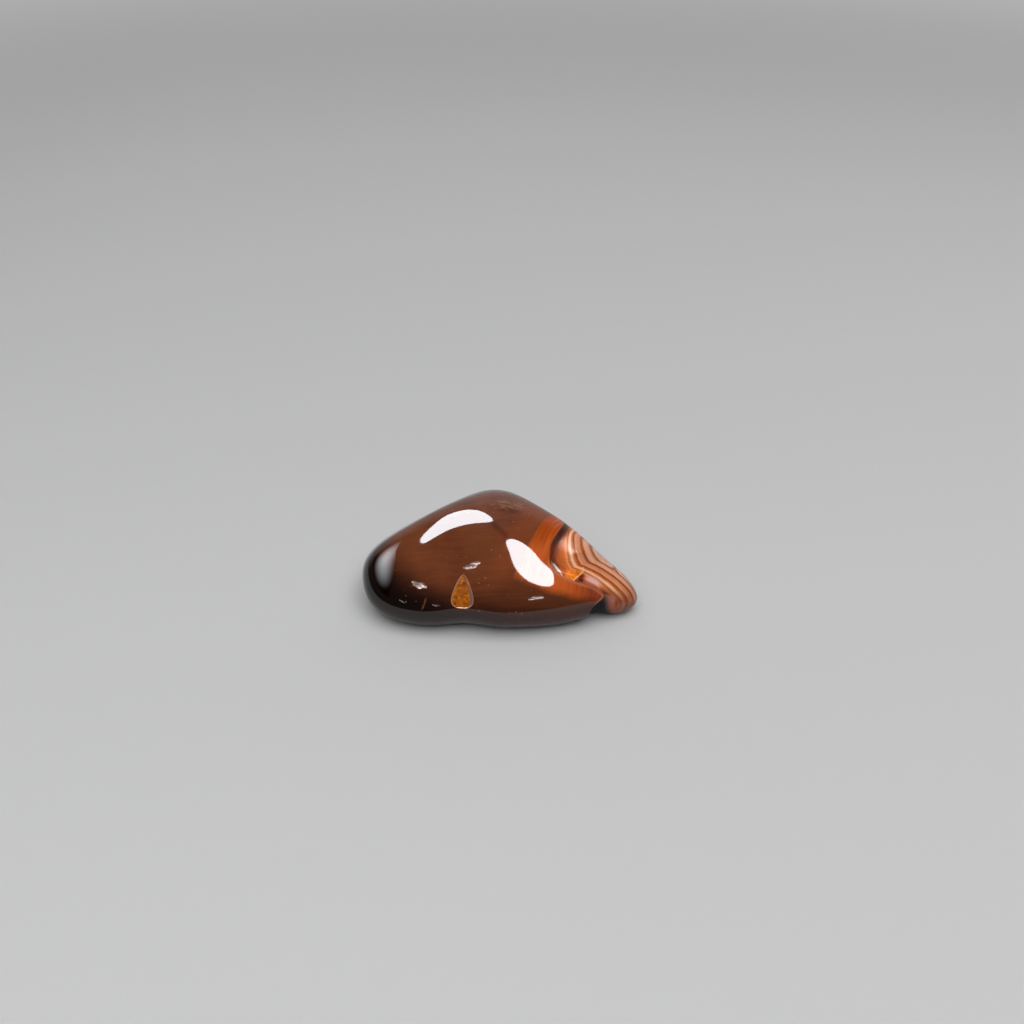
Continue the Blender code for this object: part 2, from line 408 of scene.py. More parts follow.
# %% [markdown]
# ## The skin
# The skin starts as a ball of even triangles, stretched to about the stone's size. A few passes refine it,
# and every corner moves to its place on the stone. A level cut at the ground, closed again, gives the flat
# face that it rests on.

# %% Skin
BALL_MIDDLE = np.array((2.0, -3.0, 15.0))
BALL_SIZE = np.array((52.0, 31.0, 21.0))
BALL_SUBDIVISIONS = 6
REFINE_PASSES = 5
CUT_TOLERANCE = 1e-7


def make_skin():
    """The stone as one closed mesh, cut flat on the ground and centred over the origin as its solid is."""
    mesh = bmesh.new()
    bmesh.ops.create_icosphere(mesh, subdivisions=BALL_SUBDIVISIONS, radius=1.0)
    for vertex in mesh.verts:
        vertex.co = BALL_MIDDLE + BALL_SIZE * vertex.co - CENTRE
    mesh.verts.index_update()
    for step in range(REFINE_PASSES):
        print("refining, pass", step + 1, "edges split:", refine(mesh))

    rays = np.array([vertex.co for vertex in mesh.verts])
    points, places = skin_points(rays)
    for vertex, point in zip(mesh.verts, points):
        vertex.co = point * MM
    for name, measure in MARKS.items():
        mark(mesh, name, measure(places))

    everything = mesh.verts[:] + mesh.edges[:] + mesh.faces[:]
    bmesh.ops.bisect_plane(mesh, geom=everything, dist=CUT_TOLERANCE, plane_no=(0, 0, 1), clear_inner=True)
    rim = [edge for edge in mesh.edges if edge.is_boundary]
    bmesh.ops.contextual_create(mesh, geom=rim)
    bmesh.ops.triangulate(mesh, faces=mesh.faces[:])
    bmesh.ops.recalc_face_normals(mesh, faces=mesh.faces[:])

    corners = np.array([vertex.co for vertex in mesh.verts])
    middle = (corners.min(axis=0) + corners.max(axis=0)) / 2
    bmesh.ops.translate(mesh, verts=mesh.verts[:], vec=(-middle[0], -middle[1], 0))
    data = bpy.data.meshes.new("stone")
    mesh.to_mesh(data)
    mesh.free()
    data.shade_smooth()
    return data


def add_object(name, data):
    """Put a new object into the scene."""
    piece = bpy.data.objects.new(name, data)
    bpy.context.scene.collection.objects.link(piece)
    return piece


stone_mesh = make_skin()
stone = add_object("stone", stone_mesh)
print("stone:", len(stone.data.polygons), "triangles")

# %% [markdown]
# ## A small language for shader maths
# A pattern is easier to read as a formula than as a web of nodes. One class wraps a socket that carries a
# number and turns each operator into a Math node, so the formulas below look like ordinary Python.

# %% Shader maths


class Number:
    """A socket that carries a number, and makes a Math node for each operator that it meets."""

    def __init__(self, paint, socket):
        self.paint = paint
        self.socket = socket

    def math(self, operation, *others):
        sockets = dict(enumerate((self, *others)))
        return self.paint.number("ShaderNodeMath", {"operation": operation}, sockets)

    __add__ = __radd__ = partialmethod(math, "ADD")
    __sub__ = partialmethod(math, "SUBTRACT")
    __mul__ = __rmul__ = partialmethod(math, "MULTIPLY")
    __truediv__ = partialmethod(math, "DIVIDE")
    __pow__ = partialmethod(math, "POWER")
    __abs__ = partialmethod(math, "ABSOLUTE")
    least = partialmethod(math, "MINIMUM")
    most = partialmethod(math, "MAXIMUM")

    def __rsub__(self, other):
        return self * -1.0 + other

    def step(self, low, high):
        """A soft step from 0 at low to 1 at high."""
        settings = {"interpolation_type": "SMOOTHSTEP"}
        return self.paint.number("ShaderNodeMapRange", settings, {0: self, 1: low, 2: high})

    def within(self, low, high, soft):
        """1 from low to high and 0 outside, with edges that are soft wide."""
        return self.step(low - soft, low + soft) * (1 - self.step(high - soft, high + soft))


print("number operations:", [name for name in vars(Number) if not name.startswith("__")])

# %% [markdown]
# ## Nodes and materials
# Materials, flecks, lamps and the room are all trees of nodes, so one function adds a node to any tree.
# Paint holds a material while it is painted.

# %% Paint


def fill(tree, node, sockets):
    """Give a node's sockets their values or links."""
    for name, value in sockets.items():
        if isinstance(value, Number):
            value = value.socket
        if isinstance(value, bpy.types.NodeSocket):
            tree.links.new(value, node.inputs[name])
        else:
            node.inputs[name].default_value = value


def add_node(tree, kind, settings=None, sockets=None):
    """Add a node, choose its settings first and then give its sockets values or links."""
    node = tree.nodes.new(kind)
    for name, value in (settings or {}).items():
        setattr(node, name, value)
    fill(tree, node, sockets or {})
    return node


def math_node(tree, operation, *values):
    """The number that a Math node makes."""
    return add_node(tree, "ShaderNodeMath", {"operation": operation}, dict(enumerate(values))).outputs[0]


class Paint:
    """A material under construction."""

    def __init__(self, name):
        self.material = bpy.data.materials.new(name)
        self.material.use_nodes = True
        self.tree = self.material.node_tree

    def node(self, kind, settings=None, sockets=None):
        """Add a node to the material."""
        return add_node(self.tree, kind, settings, sockets)

    def finish(self, sockets):
        """Give the shader its values and links, and give the material."""
        fill(self.tree, self.tree.nodes["Principled BSDF"], sockets)
        return self.material

    def number(self, kind, settings=None, sockets=None, output=0):
        """Add a node and give the number that it makes."""
        return Number(self, self.node(kind, settings, sockets).outputs[output])

    def attribute(self, name):
        """A number that is stored on the mesh."""
        return self.number("ShaderNodeAttribute", {"attribute_name": name}, output="Fac")

    def mix(self, share, low, high):
        """A colour that goes from low to high as share goes from 0 to 1."""
        node = self.node("ShaderNodeMix", {"data_type": "RGBA"}, {0: share, 6: low, 7: high})
        return node.outputs[2]

    def noise(self, place, scale, detail=2.0, roughness=0.5, distortion=0.0):
        """Soft noise about 0.5, whose lumps are about one over the scale wide."""
        sockets = {"Vector": place, "Scale": scale, "Detail": detail, "Roughness": roughness,
                   "Distortion": distortion}
        return self.number("ShaderNodeTexNoise", {}, sockets)

    def vector(self, operation, *values, **named):
        """The vector that a Vector Math node makes."""
        sockets = {**dict(enumerate(values)), **named}
        return self.node("ShaderNodeVectorMath", {"operation": operation}, sockets).outputs[0]

    def height(self, place, facing):
        """How far a place lies along a direction."""
        settings = {"operation": "DOT_PRODUCT"}
        return self.number("ShaderNodeVectorMath", settings, {0: place, 1: facing}, output=1)

    def streaks(self, place, facing, fine, coarse):
        """Noise about 0.5 that is drawn out along the sheets that face a direction."""
        facing = tuple(unit(np.array(facing, dtype=float)))
        across = self.height(place, facing) * (fine - coarse)
        stretched = self.vector("ADD", self.vector("SCALE", place, Scale=coarse),
                                self.vector("SCALE", facing, Scale=across))
        return self.noise(stretched, 1.0, detail=3.0, roughness=0.6)

    def ramp(self, value, stops):
        """The colour that a ramp of (place, colour) stops gives for the value."""
        node = self.node("ShaderNodeValToRGB", {}, {0: value})
        elements = node.color_ramp.elements
        while len(elements) > 1:
            elements.remove(elements[-1])
        elements[0].position, elements[0].color = stops[0]
        for place, colour in stops[1:]:
            elements.new(place).color = colour
        return node.outputs[0]


def colour(red, green, blue):
    """A colour as seen on a screen, from 0 to 255 each, as the linear values that a shader takes."""
    return (*((channel / 255) ** 2.2 for channel in (red, green, blue)), 1.0)


print("mid grey:", round(colour(128, 128, 128)[0], 3))

# %% [markdown]
# ## The body's colour
# The body is a clear red-brown. Low down it is darkened with painted shade, the lowest few millimetres are
# a near-black painted contact shadow, and it is also darker towards its left end. So this starts from one
# brown and mixes in each region with a soft mask, a number from 0 to 1 that is worked out in millimetres.

# %% Body colour
BROWN = colour(114, 63, 38)
UPPER_BROWN = colour(118, 72, 54)
LOWER_SHADE_BROWN = colour(94, 52, 31)
DEEP_SHADE_BROWN = colour(48, 22, 12)
NEAR_BLACK = colour(14, 7, 5)
WARM_BLACK = colour(66, 30, 22)
CLOUD_BROWN = colour(84, 40, 24)
GRAIN_LIGHT = colour(140, 74, 42)
GRAIN_DARK = colour(60, 32, 26)
LOW_LEFT_BROWN = colour(40, 22, 15)
TAN = colour(140, 100, 78)
RUST = colour(104, 62, 40)
PATCH_SHADE = colour(60, 28, 18)
CRACK_BROWN = colour(58, 27, 17)
VEIN_RED = colour(120, 62, 42)


def body_colour(paint, place, x, y, z):
    """The dark brown of the body, with painted shade low down, a darker left end, and its clouds."""
    cloud = paint.noise(place, 0.09, detail=3.0)
    swirl = paint.noise(place, 0.05, detail=1.0)
    bent = paint.vector("ADD", place, paint.vector("SCALE", (0.0, 0.0, 5.0), Scale=swirl))
    grain = paint.streaks(bent, (-0.12, 0.4, 1.0), 0.8, 0.05)
    # painted shade: darker below the middle of the stone's height
    skin = paint.mix(z.step(14.0, 25.0), LOWER_SHADE_BROWN, BROWN)
    skin = paint.mix((z + 6 * cloud).step(34.5, 40.5), skin, UPPER_BROWN)
    skin = paint.mix(cloud.step(0.35, 0.7) * 0.4, skin, CLOUD_BROWN)
    skin = paint.mix(grain.step(0.48, 0.72) * 0.22, skin, GRAIN_LIGHT)
    skin = paint.mix((1 - grain.step(0.3, 0.5)) * 0.18, skin, GRAIN_DARK)
    # painted shade low on the stone, reaching a little higher at its left
    low = 1 - (z + 0.12 * x + 3 * cloud).step(11.5, 19.5)
    skin = paint.mix(low * 0.9, skin, DEEP_SHADE_BROWN)
    # darker towards the left end
    left = 1 - (x + 1.6 * (z - 20) + 14 * (cloud - 0.5)).step(-44.0, -20.0)
    skin = paint.mix(left * 0.9, skin, NEAR_BLACK)
    # painted shade on the lowest band, dark brown at the left and warm black at the right
    bottom_shade = 1 - (z + 1.5 * cloud).step(8.0, 13.0)
    skin = paint.mix(bottom_shade, skin, paint.mix(x.step(-15.0, 25.0), LOW_LEFT_BROWN, WARM_BLACK))
    # painted contact shadow: the lowest few millimetres are near black
    return paint.mix(1 - z.step(1.0, 4.0), skin, NEAR_BLACK)


def body_marks(paint, skin, place, x, y, z):
    """The few marks that wear and growth have left in the body."""
    wander = paint.noise(place, 0.5, detail=3.0) - 0.5
    top = z.step(33.0, 35.0)
    patch = 1 - (((x - 3.2) / 6.0) ** 2 + ((y + 2.6) / 2.2) ** 2 + 4.0 * wander).step(0.2, 1.6)
    rust = paint.streaks(place, (0.3, 1.0, 0.2), 1.4, 0.3).step(0.42, 0.6)
    skin = paint.mix(patch * top * 0.75, skin, paint.mix(rust, RUST, TAN))
    under = abs(y + 5.2 + 0.04 * (x - 4) ** 2 + 2.2 * wander)
    under = (1 - under.step(0.1, 1.4)) * x.within(0.0, 7.0, 3.0) * top
    skin = paint.mix(under * 0.5, skin, PATCH_SHADE)
    crack = abs(y + 9.5 + 0.8 * (x + 3) + 1.2 * wander)
    crack = (1 - crack.step(0.2, 2.0)) * x.within(-3.0, 3.5, 1.5) * (1 - y.step(-9, -7))
    skin = paint.mix(crack * 0.4, skin, CRACK_BROWN)
    vein = abs(x + 26.1 - 0.42 * (z - 13.2) + 0.8 * wander)
    front = 1 - y.step(-22.0, -20.0)
    vein = (1 - vein.step(0.1, 0.5)) * z.within(11.5, 15.0, 0.6) * front
    return paint.mix(vein * 0.8, skin, VEIN_RED)


print("near black:", np.round(NEAR_BLACK[:3], 4))

# %% [markdown]
# ## The orange zone
# Iron has turned the sheets next to the fold orange. The zone's edge is a sheet too, so it runs straight and
# clean at the top, and it fades out low on the front. Fine lines run along it, one for each year or so of
# growth.

# %% Orange zone
ORANGE = colour(196, 90, 40)
ORANGE_TOP = colour(162, 70, 20)
ORANGE_LOW = colour(136, 58, 36)
ORANGE_HAZE = colour(142, 70, 36)
LINE_LIGHT = colour(216, 116, 58)
LINE_DARK = colour(120, 50, 22)


def orange_zone(paint, skin, place, x, y, z):
    """The orange sheets that the body shows beside the lip."""
    wander = 2.5 * (paint.noise(place, 0.12, detail=2.0) - 0.5)
    upper = x - 0.63 * (y + 14.8) - 10.9 + 0.4 * wander
    lower = z + 0.4 * x - 25.4 + wander
    zone = upper.step(-0.7, 0.9) * lower.step(-2.2, 1.6)
    tint = paint.mix(z.step(27.0, 34.0), ORANGE, ORANGE_TOP)
    tint = paint.mix((x - 0.6 * z).step(13.0, 27.0), tint, ORANGE_LOW)
    lines = paint.streaks(place, (1.0, -0.63, 0.25), 1.6, 0.07)
    tint = paint.mix(lines.step(0.5, 0.72) * 0.45, tint, LINE_LIGHT)
    tint = paint.mix((1 - lines.step(0.32, 0.48)) * 0.35, tint, LINE_DARK)
    before = upper.within(-9.0, -0.5, 3.0) * z.step(18.0, 24.0)
    skin = paint.mix(before * 0.35, skin, ORANGE_HAZE)
    return paint.mix(zone, skin, tint)


print("orange:", np.round(ORANGE[:3], 3))

# %% [markdown]
# ## The bands of the tail
# The stone grew layer by layer inside a bubble of lava, so its colours lie in sheets. A number that is the
# same all over one sheet makes them: it is worked out from the place in the stone, and a ramp turns it into
# bands. Two families of sheets meet at the tail's knee. The smaller number wins there, which gives the knee
# its sharp bend.

# %% Bands
BAND_START = 18.0
BAND_SPAN = 24.0
BANDS = (
    (18.0, (190, 88, 24)), (21.0, (204, 98, 26)), (22.5, (224, 112, 36)), (23.0, (255, 162, 96)),
    (23.4, (222, 116, 58)), (23.8, (198, 96, 38)), (24.25, (255, 198, 150)), (24.8, (255, 206, 164)),
    (25.2, (222, 126, 66)), (25.6, (206, 104, 38)), (26.1, (160, 72, 22)), (26.4, (148, 66, 24)),
    (26.75, (240, 160, 112)), (27.3, (222, 146, 108)), (28.4, (216, 138, 96)), (28.9, (190, 104, 60)),
    (29.3, (134, 62, 32)), (29.7, (150, 74, 42)), (30.1, (222, 146, 104)), (30.5, (236, 164, 128)),
    (31.2, (230, 164, 132)), (31.9, (216, 148, 116)), (32.5, (170, 96, 62)), (32.9, (150, 82, 54)),
    (33.4, (228, 176, 146)), (34.3, (206, 150, 124)), (36.0, (160, 92, 70)), (36.6, (206, 136, 108)),
    (38.0, (176, 104, 80)), (40.0, (150, 82, 60)), (42.0, (180, 110, 86)),
)
THREAD_LIGHT = colour(240, 180, 150)
THREAD_DARK = colour(130, 66, 42)
TAIL_LOW_EDGE = colour(128, 62, 42)
LILAC_PAINTED_HIGHLIGHT = colour(238, 204, 196)
VALLEY_SHADE_BROWN = colour(118, 52, 32)
VALLEY_SHADE_DARK = colour(52, 28, 20)
TAIL_FOOT_SHADE = colour(70, 28, 22)
LOWER_TAIL = colour(104, 46, 32)
NOSE_SHADE = colour(62, 22, 17)
UNDER_NOSE_SHADOW = colour(8, 2, 2)


def band_field(paint, place, x, y, z):
    """A number in millimetres that is the same all over one sheet of the tail."""
    wander = 0.4 * (paint.noise(place, 0.22, detail=2.0) - 0.5)
    x1, y1, z1 = x - 25, (y + 12).least(8.0), (z - 26).most(-9.0)
    upright = 25.6 + 0.93 * x1 + 0.3 * y1 - 0.24 * z1 - 0.039 * z1 ** 2 + 0.048 * x1 * z1 - 0.079 * y1 ** 2
    x2, y2, z2 = x - 38, (y + 15).least(3.0), z - 16
    sloping = 27.6 + 0.68 * x2 + 1.01 * y2 + 0.69 * z2
    sloping = sloping + 0.0245 * x2 ** 2 + 0.046 * x2 * z2 + 0.072 * z2 ** 2 - 0.027 * y2 ** 2
    return upright.least(sloping) + wander


def tail_colour(paint, place, x, y, z):
    """The tail's bands, with painted shade in its valley and under the nose, and a small painted highlight.
    """
    band = band_field(paint, place, x, y, z)
    stops = [((value - BAND_START) / BAND_SPAN, colour(*tint)) for value, tint in BANDS]
    skin = paint.ramp((band - BAND_START) / BAND_SPAN, stops)
    fine = paint.streaks(place, (1.0, 0.1, 0.5), 3.0, 0.1)
    skin = paint.mix(fine.step(0.5, 0.75) * 0.25, skin, THREAD_LIGHT)
    skin = paint.mix((1 - fine.step(0.3, 0.5)) * 0.25, skin, THREAD_DARK)
    low = 1 - (z + 0.45 * x + 0.9 * (y + 17)).step(25.0, 31.0)
    skin = paint.mix(low * 0.75, skin, TAIL_LOW_EDGE)
    from_lip = paint.attribute("from_lip")
    # a pale lilac patch low on the tail is a painted highlight
    painted_highlight = from_lip.within(1.6, 3.6, 0.9) * x.within(31.0, 36.0, 1.8) * z.step(12.0, 14.0)
    skin = paint.mix(painted_highlight * 0.8, skin, LILAC_PAINTED_HIGHLIGHT)
    # painted shade: the fold's valley is darker under the lip, near black at its top
    valley = (1 - from_lip.step(2.0, 4.4)) * z.step(19.0, 21.5)
    skin = paint.mix(valley * 0.9, skin, VALLEY_SHADE_BROWN)
    skin = paint.mix((1 - from_lip.step(1.0, 2.6)) * z.step(27.0, 30.0) * 0.9, skin, VALLEY_SHADE_DARK)
    # painted shade near the ground, and the lower tail above it is darker
    skin = paint.mix((1 - z.step(2.5, 7.0)) * 0.6, skin, TAIL_FOOT_SHADE)
    skin = paint.mix((1 - z.step(8.0, 15.0)) * 0.45, skin, LOWER_TAIL)
    # painted shade on the tail beside the nose, and a near-black painted shadow under it
    nose_shade = (1 - (x + 0.1 * z).step(38.0, 42.5)) * (1 - z.step(9.0, 13.5))
    skin = paint.mix(nose_shade * 0.85, skin, NOSE_SHADE)
    under_nose_shadow = (1 - (x - 0.3 * (9 - z)).step(36.8, 39.2)) * (1 - z.step(8.0, 10.5))
    return paint.mix(under_nose_shadow, skin, UNDER_NOSE_SHADOW)


print(len(BANDS), "band colours over", BAND_SPAN, "mm")

# %% [markdown]
# ## Quartz
# A wedge of amber quartz closes the fold's lower corner, and the teardrop is the same quartz, cut across.
# The wedge's heights run along the picture's own upward direction.

# %% Quartz
AMBER = colour(160, 84, 14)
AMBER_LIGHT = colour(204, 122, 30)
AMBER_DARK = colour(112, 52, 10)
WEDGE_AMBER = colour(232, 132, 26)
WEDGE_LIGHT = colour(255, 176, 60)
WEDGE_DARK = colour(186, 92, 16)
WEDGE_CORNER_SHADOW = colour(92, 38, 24)
WEDGE_EDGE = colour(255, 196, 146)
PAINTED_HIGHLIGHT_WHITE = colour(255, 252, 244)
SEAM = colour(176, 120, 76)
LILAC_QUARTZ = colour(124, 88, 78)
PICTURE_UP_Y = 0.575
PICTURE_UP_Z = 0.818
WEDGE_RIGHT = 30.0
WEDGE_TOP = 7.0
FOLD_BACK = (-15.9, -15.2)


def quartz(paint, place, clear, light, dark):
    """Clear amber with darker threads in it."""
    grain = paint.noise(place, 0.7, detail=4.0, roughness=0.65, distortion=0.6)
    skin = paint.mix(grain.step(0.5, 0.7), clear, light)
    return paint.mix(1 - grain.step(0.34, 0.5), skin, dark)


def wedge(paint, skin, place, x, y, z):
    """The amber wedge, its pale edge, painted shadow at its right and a painted highlight by the lip."""
    height = PICTURE_UP_Z * z + PICTURE_UP_Y * y
    right = x - WEDGE_RIGHT + 0.25 * (WEDGE_TOP - height).most(0.0) ** 2
    in_front = 1 - y.step(*FOLD_BACK)
    here = in_front * x.step(22.6, 23.8) * (1 - height.step(6.3, WEDGE_TOP))
    # painted shadow in the dark corner right of the wedge
    dark = right.step(0.1, 0.5) * (1 - x.step(29.4, 31.0)) * height.within(2.4, 5.3, 0.5)
    skin = paint.mix(dark * 0.9, skin, WEDGE_CORNER_SHADOW)
    amber = quartz(paint, place, WEDGE_AMBER, WEDGE_LIGHT, WEDGE_DARK)
    skin = paint.mix(here * (1 - right.step(-0.7, -0.1)), skin, amber)
    edge = right.within(-0.5, 0.05, 0.3) * height.within(3.0, 7.6, 0.4)
    skin = paint.mix(edge, skin, WEDGE_EDGE)
    # a white sliver beside the lip is a painted highlight
    across = (height - 9.3) + 1.2 * (x - 18.8)
    sliver = across.within(-0.55, 0.5, 0.25) * x.within(18.6, 22.2, 0.4) * in_front
    return paint.mix(sliver, skin, PAINTED_HIGHLIGHT_WHITE)


def teardrop_colour(paint, skin, place, x):
    """The teardrop's quartz with a pale seam round it, and a lilac sliver at its right."""
    inside = paint.attribute("in_teardrop")
    skin = paint.mix(inside.step(-0.15, 0.05), skin, SEAM)
    skin = paint.mix(inside.step(0.25, 0.5), skin, quartz(paint, place, AMBER, AMBER_LIGHT, AMBER_DARK))
    sliver = inside.within(0.1, 1.3, 0.15) * (x + 10.6).step(0.0, 0.3)
    return paint.mix(sliver, skin, LILAC_QUARTZ)


print("wedge: up to", WEDGE_RIGHT, "mm right of the middle")

# %% [markdown]
# ## The finished material
# The polish doesn't reach into the pit, the fold's valley and the chips, so they are rougher there. That
# keeps hard glints out of the fold. The chips are a little pale, and uneven pale stripes on them are painted
# glints. A pale edge along the lower lip is partly wear and partly a painted highlight.

# %% Agate
POLISH = 0.035
QUARTZ_IOR = 1.54
DULL = {"pit": 0.14, "chip": 0.3, "nose": 0.85, "foot": 0.5}
WORN_EDGE_AND_HIGHLIGHT = colour(196, 132, 108)
FROST_AND_GLINT = colour(176, 152, 142)


def agate():
    """The whole stone's material."""
    paint = Paint("agate")
    coordinates = paint.node("ShaderNodeTexCoord").outputs["Object"]
    place = paint.vector("SCALE", coordinates, Scale=1 / MM)
    split = paint.node("ShaderNodeSeparateXYZ", {}, {0: place})
    x, y, z = (Number(paint, socket) for socket in split.outputs)

    skin = body_colour(paint, place, x, y, z)
    skin = body_marks(paint, skin, place, x, y, z)
    skin = orange_zone(paint, skin, place, x, y, z)
    from_lip = paint.attribute("from_lip")
    on_tail = from_lip.step(-0.4, 0.0)
    tail = wedge(paint, tail_colour(paint, place, x, y, z), place, x, y, z)
    # a pale edge along the lip, partly wear and partly a painted highlight
    worn_edge_and_highlight = from_lip.within(-1.0, 0.1, 0.35) * z.step(9.0, 12.0) * (1 - z.step(23.0, 27.0))
    skin = paint.mix(worn_edge_and_highlight * 0.4, skin, WORN_EDGE_AND_HIGHLIGHT)
    skin = paint.mix(on_tail, skin, tail)
    skin = teardrop_colour(paint, skin, place, x)
    # the chips are a little pale, and the pale stripes on them are painted glints
    frost = paint.attribute("in_chip").step(0.0, 0.12)
    painted_glint = paint.streaks(place, (0.25, 0.3, 1.0), 1.6, 0.5)
    skin = paint.mix(frost * (0.12 + 0.88 * painted_glint.step(0.46, 0.56)), skin, FROST_AND_GLINT)

    valley = on_tail * (1 - from_lip.step(7.0, 12.0)) * (0.1 + 0.22 * z.step(20.0, 25.0))
    pit = paint.attribute("in_teardrop").step(0.0, 0.4)
    shaded = on_tail * (1 - z.step(9.0, 11.0)) * (1 - x.step(39.0, 43.0))
    foot = 1 - z.step(1.0, 5.0)
    dull = valley.most(DULL["pit"] * pit).most(DULL["chip"] * frost)
    dull = dull.most(DULL["nose"] * shaded).most(DULL["foot"] * foot)
    grain = paint.noise(place, 2.0, detail=2.0) * pit
    bump = paint.node("ShaderNodeBump", {}, {"Strength": 0.4, "Distance": 0.0001, "Height": grain})
    return paint.finish({"Base Color": skin, "Roughness": POLISH + dull, "IOR": QUARTZ_IOR,
                         "Normal": bump.outputs[0]})


stone.data.materials.append(agate())
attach(stone, "root")
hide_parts("agate")
print("agate:", len(stone.data.materials[0].node_tree.nodes), "nodes")

# %% [markdown]
# ## Flecks
# Tiny pale flecks of mineral show in the polish, in loose clusters. They could be dots in the material, but
# Geometry Nodes can scatter real ones, as flat little crystals with the same polish as the stone, so the
# highlights run on over them.

# %% Fleck finish
FLECK_DARK = colour(120, 74, 48)
FLECK_LIGHT = colour(176, 120, 84)


def fleck_finish():
    """Pale tan mineral with a little variation from fleck to fleck."""
    paint = Paint("fleck")
    place = paint.node("ShaderNodeTexCoord").outputs["Object"]
    shade = paint.noise(place, 160.0, detail=2.0)
    skin = paint.mix(shade.step(0.35, 0.65), FLECK_DARK, FLECK_LIGHT)
    return paint.finish({"Base Color": skin, "Roughness": POLISH, "IOR": QUARTZ_IOR})


print("pale fleck:", np.round(FLECK_LIGHT[:3], 3))

# %% [markdown]
# ## Scattering the flecks
# The tree puts points on the skin's faces, thinned out by noise, with one main cluster and none on the tail,
# the teardrop or the foot. Each point gets a crystal with its own turn and size. Sizes are named inputs in
# metres, and the seed is fixed.

# %% Flecks
FLECKS = {
    "Density": 110000.0,
    "Radius": 0.26 * MM,
    "Cluster Scale": 90.0,
    "Main Cluster": (-0.009, -0.022, 0.023),
    "Cluster Reach": 0.016,
    "Seed": 11,
}
FLECK_CORNERS = 7
FLECK_SQUASH = (1.0, 0.6, 1.0)
FLECK_SIZES = (0.35, 1.2)
FLECK_LIFT = 0.012 * MM
CLUSTER_NOISE = (0.48, 0.7)
CLUSTER_SHARE = 0.7
CLEAR_OF_GROUND = 4 * MM
CLEAR_OF_LIP = -1.5
CLEAR_OF_TEARDROP = -0.3


def keep_below(tree, name, limit):
    """1 where a number stored on the mesh is below a limit, and 0 elsewhere."""
    stored = add_node(tree, "GeometryNodeInputNamedAttribute", {"data_type": "FLOAT"}, {"Name": name})
    return math_node(tree, "LESS_THAN", stored.outputs[0], limit)


def fleck_tree():
    """The scatter of flecks over the skin that it is given."""
    tree = bpy.data.node_groups.new("scatter_flecks", "GeometryNodeTree")
    kinds = {"Skin": "Geometry", "Density": "Float", "Radius": "Float", "Cluster Scale": "Float",
             "Main Cluster": "Vector", "Cluster Reach": "Float", "Seed": "Int", "Finish": "Material"}
    for name, kind in kinds.items():
        tree.interface.new_socket(name, in_out="INPUT", socket_type="NodeSocket" + kind)
    tree.interface.new_socket("Flecks", in_out="OUTPUT", socket_type="NodeSocketGeometry")
    node = partial(add_node, tree)
    math_of = partial(math_node, tree)
    given = node("NodeGroupInput").outputs
    seed = {"Seed": given["Seed"]}
    soft = {"interpolation_type": "SMOOTHSTEP"}

    noise = node("ShaderNodeTexNoise", {}, {"Scale": given["Cluster Scale"], "Detail": 2.0})
    low, high = CLUSTER_NOISE
    clusters = node("ShaderNodeMapRange", soft, {0: noise.outputs[0], 1: low, 2: high})
    place = node("GeometryNodeInputPosition").outputs[0]
    distance = node("ShaderNodeVectorMath", {"operation": "DISTANCE"}, {0: place, 1: given["Main Cluster"]})
    near = node("ShaderNodeMapRange", soft,
                {0: distance.outputs["Value"], 1: given["Cluster Reach"], 2: 0.0, 4: CLUSTER_SHARE})
    density = math_of("ADD", clusters.outputs[0], near.outputs[0])
    split = node("ShaderNodeSeparateXYZ", {}, {0: place})
    off_ground = math_of("GREATER_THAN", split.outputs["Z"], CLEAR_OF_GROUND)
    off_tail = keep_below(tree, "from_lip", CLEAR_OF_LIP)
    off_teardrop = keep_below(tree, "in_teardrop", CLEAR_OF_TEARDROP)
    for factor in (off_tail, off_teardrop, off_ground, given["Density"]):
        density = math_of("MULTIPLY", density, factor)
    points = node("GeometryNodeDistributePointsOnFaces", {},
                  {"Mesh": given["Skin"], "Density": density, **seed}).outputs

    disc = node("GeometryNodeMeshCircle", {"fill_type": "TRIANGLE_FAN"},
                {"Vertices": FLECK_CORNERS, "Radius": given["Radius"]})
    crystal = node("GeometryNodeTransform", {},
                   {0: disc.outputs[0], "Translation": (0.0, 0.0, FLECK_LIFT), "Scale": FLECK_SQUASH})
    turn = node("FunctionNodeRandomValue", {"data_type": "FLOAT_VECTOR"},
                {0: (0.0, 0.0, 0.0), 1: (0.0, 0.0, 2 * math.pi), **seed})
    turned = node("FunctionNodeRotateRotation", {"rotation_space": "LOCAL"},
                  {0: points["Rotation"], 1: turn.outputs[0]})
    small, large = FLECK_SIZES
    sizes = node("FunctionNodeRandomValue", {"data_type": "FLOAT"}, {2: small, 3: large, **seed})
    placed = node("GeometryNodeInstanceOnPoints", {},
                  {"Points": points["Points"], "Instance": crystal.outputs[0],
                   "Rotation": turned.outputs[0], "Scale": sizes.outputs[1]})
    real = node("GeometryNodeRealizeInstances", {}, {0: placed.outputs[0]})
    painted = node("GeometryNodeSetMaterial", {}, {0: real.outputs[0], "Material": given["Finish"]})
    node("NodeGroupOutput", {}, {0: painted.outputs[0]})
    return tree


def scatter_flecks():
    """The flecks as one plain mesh."""
    piece = add_object("flecks", stone_mesh.copy())
    modifier = piece.modifiers.new("scatter", "NODES")
    modifier.node_group = fleck_tree()
    for item in modifier.node_group.interface.items_tree:
        if item.in_out == "INPUT" and item.name in FLECKS:
            modifier[item.identifier] = FLECKS[item.name]
        if item.name == "Finish":
            modifier[item.identifier] = fleck_finish()
    evaluated = piece.evaluated_get(bpy.context.evaluated_depsgraph_get())
    plain_mesh = bpy.data.meshes.new_from_object(evaluated)
    piece.modifiers.clear()
    piece.data = plain_mesh
    return piece


